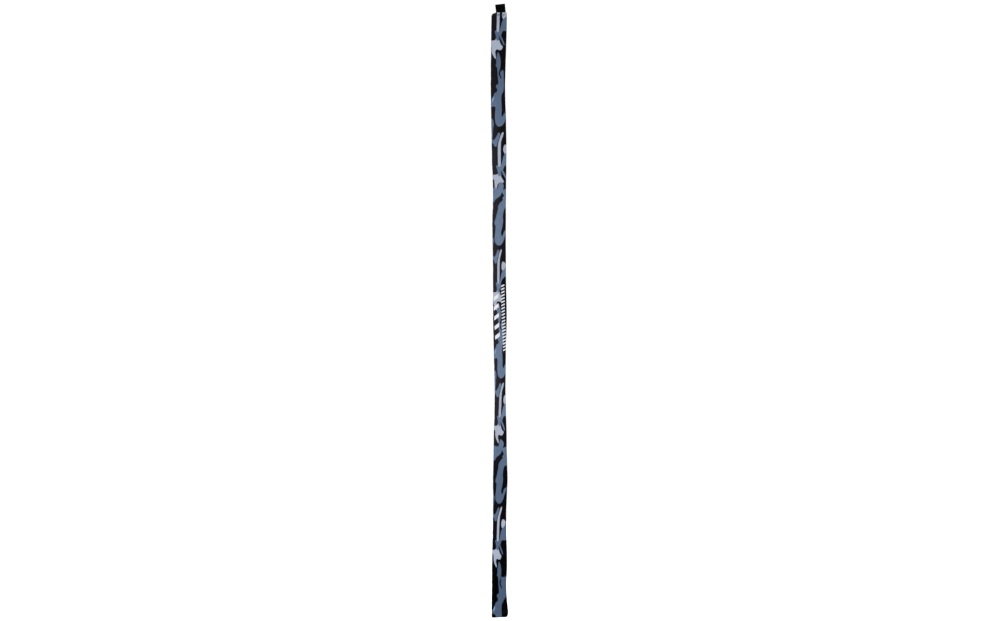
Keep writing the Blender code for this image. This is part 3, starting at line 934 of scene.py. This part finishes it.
def add_stitches(name, runs, radius, look):
    """One piece of many stitches. Each run is (start, end, outward): a thread that dips in at its ends."""
    points, faces, corners = [], [], []
    for start, end, outward in runs:
        along = end - start
        length = np.linalg.norm(along)
        forward = along / length
        side = np.cross(forward, outward)
        side /= np.linalg.norm(side)
        up = np.cross(side, forward)
        first = len(points)
        for share, swell in STITCH_PROFILE:
            middle = start + along * share + outward * radius * (1.6 * math.sin(math.pi * share) - 0.7)
            for k in range(STITCH_SIDES):
                turn = 2 * math.pi * k / STITCH_SIDES
                points.append(middle + radius * swell * (math.cos(turn) * side + math.sin(turn) * up))
        rings = len(STITCH_PROFILE)
        for i in range(rings - 1):
            for k in range(STITCH_SIDES):
                after = (k + 1) % STITCH_SIDES
                a, b = first + i * STITCH_SIDES, first + (i + 1) * STITCH_SIDES
                faces.append([a + k, a + after, b + after, b + k])
                v0, v1 = STITCH_PROFILE[i][0] * length, STITCH_PROFILE[i + 1][0] * length
                u0, u1 = k / STITCH_SIDES, (k + 1) / STITCH_SIDES
                corners += [(u0, v0), (u1, v0), (u1, v1), (u0, v1)]
        faces.append([first + k for k in reversed(range(STITCH_SIDES))])
        faces.append([first + (rings - 1) * STITCH_SIDES + k for k in range(STITCH_SIDES)])
        corners += [(0.0, 0.0)] * (2 * STITCH_SIDES)
    piece = add_piece(name, points, faces)
    set_uv(piece, "cloth", corners)
    piece.data.materials.append(look)
    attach(piece, "sleeve")
    return piece


def outward_at(point, skin_centre):
    """Straight out from the sleeve's middle, flattened as the section is."""
    out = np.array((point[0] - skin_centre[0], (point[1] - skin_centre[1]) * 6, 0.0))
    return out / np.linalg.norm(out)


def add_hem_rows(skin, look):
    """Two rows of stitches round the mouth."""
    names = ("mouth_hem_stitch_upper", "mouth_hem_stitch_lower")
    for node, depth in zip(names, hem_row_depths()):
        _, ring = skin.ring(depth)
        centre = (ring.max(axis=0) + ring.min(axis=0)) / 2
        perimeter = np.linalg.norm(np.diff(ring, axis=0), axis=1).sum()
        count = round(perimeter / (STITCH + STITCH_GAP))
        runs = []
        for k in range(count):
            start = skin.at_share(depth, (k + STITCH_START) / count)
            end = skin.at_share(depth, (k + STITCH_END) / count)
            runs.append((start, end, outward_at((start + end) / 2, centre)))
        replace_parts(add_stitches(node + "_thread", runs, THREAD_RADIUS, look), node)


def add_end_row(skin, node, side, look):
    """The closing row on one side of the end seam."""
    low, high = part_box(node)
    count = round((high.x - low.x) / (STITCH + STITCH_GAP))
    pitch = (high.x - low.x) / count
    runs = []
    for k in range(count):
        start = skin.at_x(END_ROW_DEPTH, low.x + pitch * (k + STITCH_START), side)
        end = skin.at_x(END_ROW_DEPTH, low.x + pitch * (k + STITCH_END), side)
        runs.append((start, end, np.array((0.0, side, 0.0))))
    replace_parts(add_stitches(node + "_thread", runs, THREAD_RADIUS, look), node)


def add_bartack(skin, node, side, look):
    """A bar of close upright stitches over two long ones."""
    low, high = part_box(node)
    top, bottom = TOP_Z - high.z, TOP_Z - low.z
    out = np.array((0.0, side, 0.0))
    runs = []
    for k in range(BARTACK_STITCHES):
        x = low.x + (high.x - low.x) * (k + 0.5) / BARTACK_STITCHES
        start = skin.at_x(top, x - 0.0001, side)
        end = skin.at_x(bottom, x + 0.0001, side)
        runs.append((start + out * THREAD_RADIUS, end + out * THREAD_RADIUS, out))
    for level in (0.3, 0.7):
        depth = top + (bottom - top) * level
        runs.append((skin.at_x(depth, low.x, side), skin.at_x(depth, high.x, side), out))
    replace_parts(add_stitches(node + "_thread", runs, THREAD_RADIUS * 0.85, look), node)


def add_overlock(look):
    """The bound seam allowance inside the left edge: a scalloped band of thread."""
    low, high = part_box("side_seam_overlock")
    depths = np.arange(TOP_Z - high.z, TOP_Z - low.z, OVERLOCK_RINGS)
    outer = smooth_curve(depths, *LEFT_EDGE) + FABRIC + OVERLOCK_INSET
    scallop = OVERLOCK_SCALLOP * np.cos(depths / OVERLOCK_PITCH * 2 * math.pi)
    profile = [(0.0, 0.0), (0.0006, -1.0), (0.0026, -0.75), (0.0044, -1.0), (0.0050, 0.0), (0.0044, 1.0),
               (0.0026, 0.75), (0.0006, 1.0)]
    rings = np.zeros((len(depths), len(profile), 3))
    for k, (x, y) in enumerate(profile):
        rings[:, k, 0] = outer + x + scallop * (x / SEAM_ALLOWANCE)
        rings[:, k, 1] = y * OVERLOCK_HALF
        rings[:, k, 2] = TOP_Z - depths
    quads, caps = tube_faces(len(depths), len(profile))
    band = add_piece("side_seam_overlock_thread", rings.reshape(-1, 3), quads.tolist() + caps)
    corners = quad_corners(depths, np.linspace(0, 1, len(profile) + 1))
    set_uv(band, "cloth", corners.reshape(-1, 2))
    band.data.materials.append(look)
    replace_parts(band, "side_seam_overlock")
    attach(band, "sleeve")


def webbing_path():
    """The webbing's middle line from the side, as (y, z): up one tail, round the eye and down the other."""
    outer_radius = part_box("hang_loop")[1].y
    radius = outer_radius - WEBBING / 2
    centre_z = WEBBING - outer_radius
    leg_y = WEBBING / 2 + 0.00003
    tail_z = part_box("loop_tails")[0].z + 0.0002
    neck_z = HINGE_Z + 0.004
    down = centre_z - neck_z
    meets = math.atan2(-down, leg_y) + math.acos(radius / math.hypot(leg_y, down))
    half = [(leg_y, z) for z in np.linspace(tail_z, neck_z, 28)]
    touch = (radius * math.cos(meets), centre_z + radius * math.sin(meets))
    for t in np.linspace(0.1, 0.9, 10):
        half.append((leg_y + (touch[0] - leg_y) * t, neck_z + (touch[1] - neck_z) * t))
    for turn in np.linspace(meets, math.pi / 2, 20):
        half.append((radius * math.cos(turn), centre_z + radius * math.sin(turn)))
    front = [(-y, z) for y, z in half]
    return np.array(front + half[-2::-1])


def webbing_section():
    """The webbing's cross-section as (across, out) pairs, with thinner, rounded selvedges."""
    columns = 26
    half_width = (WEBBING_RIGHT - WEBBING_LEFT) / 2
    over = -np.cos(np.linspace(0, math.pi, columns + 1)) * 0.35 + np.linspace(-1, 1, columns + 1) * 0.65
    selvedge = 1 - 0.14 * ease((np.abs(over) - 0.84) / 0.08)
    thick = WEBBING / 2 * np.sqrt(np.maximum(1 - np.abs(over) ** 14, 0)) * selvedge
    front = np.stack([over * half_width, -thick], axis=-1)
    back = np.stack([over[-2:0:-1] * half_width, thick[-2:0:-1]], axis=-1)
    return np.vstack([front, back])


def add_webbing(look):
    """The hang loop and its tails: one strip of webbing, bent at the hinge."""
    path = webbing_path()
    section = webbing_section()
    forward = np.gradient(path, axis=0)
    forward /= np.linalg.norm(forward, axis=1, keepdims=True)
    out = np.stack([-forward[:, 1], forward[:, 0]], axis=-1)
    middle_x = (WEBBING_LEFT + WEBBING_RIGHT) / 2
    rings = np.zeros((len(path), len(section), 3))
    rings[:, :, 0] = middle_x + section[None, :, 0]
    rings[:, :, 1] = path[:, None, 0] - out[:, None, 0] * section[None, :, 1]
    rings[:, :, 2] = path[:, None, 1] - out[:, None, 1] * section[None, :, 1]
    slope = math.tan(LOOP_LEAN)
    rise = rings[:, :, 2] - HINGE_Z
    rise = np.where(rise > 0.002, rise, np.maximum(rise + 0.002, 0) ** 2 / 0.008)
    rings[:, :, 0] -= slope * rise
    rings[:, :, 2] += slope * (rings[:, :, 0] - middle_x) * rise / (WEBBING - HINGE_Z)
    quads, caps = tube_faces(len(path), len(section))
    loop = add_piece("webbing_loop", rings.reshape(-1, 3), quads.tolist() + caps)
    run = np.concatenate([[0], np.cumsum(np.linalg.norm(np.diff(path, axis=0), axis=1))])
    sides = np.linalg.norm(np.diff(section, axis=0, append=section[:1]), axis=1)
    around = np.concatenate([[0], np.cumsum(sides)])
    set_uv(loop, "cloth", quad_corners(run, around).reshape(-1, 2))
    loop.data.materials.append(look)
    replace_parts(loop, "hang_loop", "loop_tails")
    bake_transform(loop)


# ----------------------------------------------------------------------------
# Studio
# ----------------------------------------------------------------------------


def add_camera():
    """A level camera on the photograph's axis."""
    data = bpy.data.cameras.new("camera")
    data.lens = LENS
    data.sensor_width = SENSOR
    camera = bpy.data.objects.new("camera", data)
    bpy.context.scene.collection.objects.link(camera)
    camera.location = (0.0, -VIEW_WIDTH * LENS / SENSOR, VIEW_CENTRE_Z)
    camera.rotation_euler = (math.pi / 2, 0, 0)
    bpy.context.scene.camera = camera


def add_area_light(name, place, target, size, power):
    """A soft square light that faces a point."""
    data = bpy.data.lights.new(name, "AREA")
    data.size = size
    data.energy = power
    light = bpy.data.objects.new(name, data)
    bpy.context.scene.collection.objects.link(light)
    light.location = place
    light.rotation_euler = (Vector(target) - Vector(place)).to_track_quat("-Z", "Y").to_euler()


def add_studio():
    """White surroundings, a pale floor under the hanging sleeve, and soft light from the front and above."""
    scene = bpy.context.scene
    scene.view_settings.view_transform = "Standard"
    world = bpy.data.worlds.new("studio")
    world.use_nodes = True
    scene.world = world
    nodes, links = world.node_tree.nodes, world.node_tree.links
    backing = nodes["Background"]
    seen = nodes.new("ShaderNodeLightPath").outputs["Is Camera Ray"]
    strength = nodes.new("ShaderNodeMapRange")
    strength.inputs["To Min"].default_value = SKY_LIGHT
    strength.inputs["To Max"].default_value = SKY_SEEN
    links.new(seen, strength.inputs["Value"])
    links.new(strength.outputs[0], backing.inputs["Strength"])
    backing.inputs["Color"].default_value = (1, 1, 1, 1)
    mesh = bpy.data.meshes.new("floor")
    turns = [2 * math.pi * k / FLOOR_CORNERS for k in range(FLOOR_CORNERS)]
    height = CAD_LOW.z - FLOOR_DROP
    rim = [(FLOOR_RADIUS * math.cos(turn), FLOOR_RADIUS * math.sin(turn), height) for turn in turns]
    mesh.from_pydata(rim, [], [list(range(len(rim)))])
    floor = bpy.data.objects.new("floor", mesh)
    scene.collection.objects.link(floor)
    mesh.materials.append(floor_look())
    middle = (0.0, 0.0, VIEW_CENTRE_Z)
    for name, (place, size, power) in LAMPS.items():
        add_area_light(name, place, middle, size, power)


def main():
    add_camera()
    add_sleeve()
    thread = thread_look()
    skin = Skin()
    add_hem_rows(skin, thread)
    for face, side in (("front", -1), ("back", 1)):
        add_end_row(skin, "end_seam_stitch_" + face, side, thread)
        for place in ("left", "right"):
            add_bartack(skin, f"bartack_{place}_{face}", side, thread)
    add_overlock(thread)
    add_webbing(webbing_look())
    add_studio()


main()
